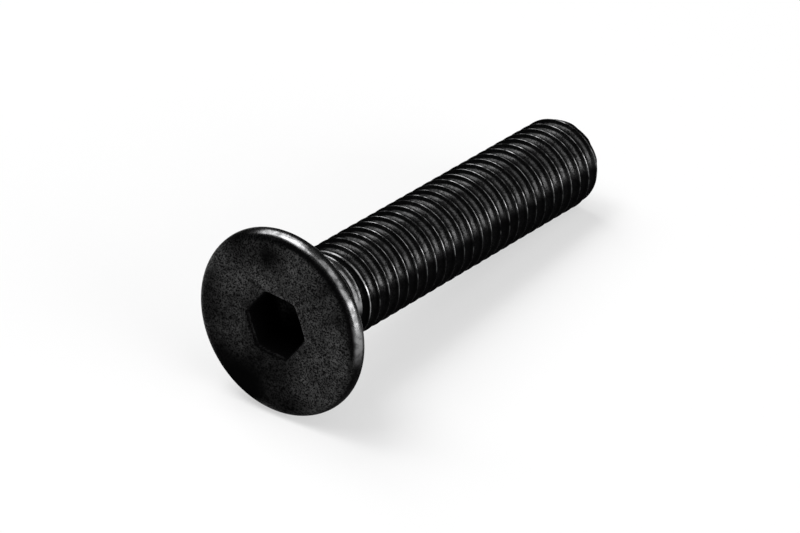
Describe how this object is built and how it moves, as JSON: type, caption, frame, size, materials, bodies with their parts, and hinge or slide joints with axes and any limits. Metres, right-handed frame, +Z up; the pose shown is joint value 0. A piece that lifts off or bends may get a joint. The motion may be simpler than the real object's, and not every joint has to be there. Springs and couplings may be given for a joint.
{
  "type": "countersunk socket screw",
  "caption": "Fully threaded machine screw with a flat countersunk head and a hexagon socket, black finish, lying on its side.",
  "frame": {"origin": "bottom centre of the bounding box, on the table that the screw lies on", "axes": "+Z up, +Y from the head towards the tip; the screw's own axis dips 6 degrees below +Y because it lies on the rim of its head and on a crest near its tip; +X completes the frame, sideways"},
  "size_m": [0.0098, 0.0256, 0.0098],
  "materials": {
    "screw": "black oxide, satin, lightly oiled"
  },
  "bodies": {
    "root": {"screw": "screw"}
  },
  "joints": []
}
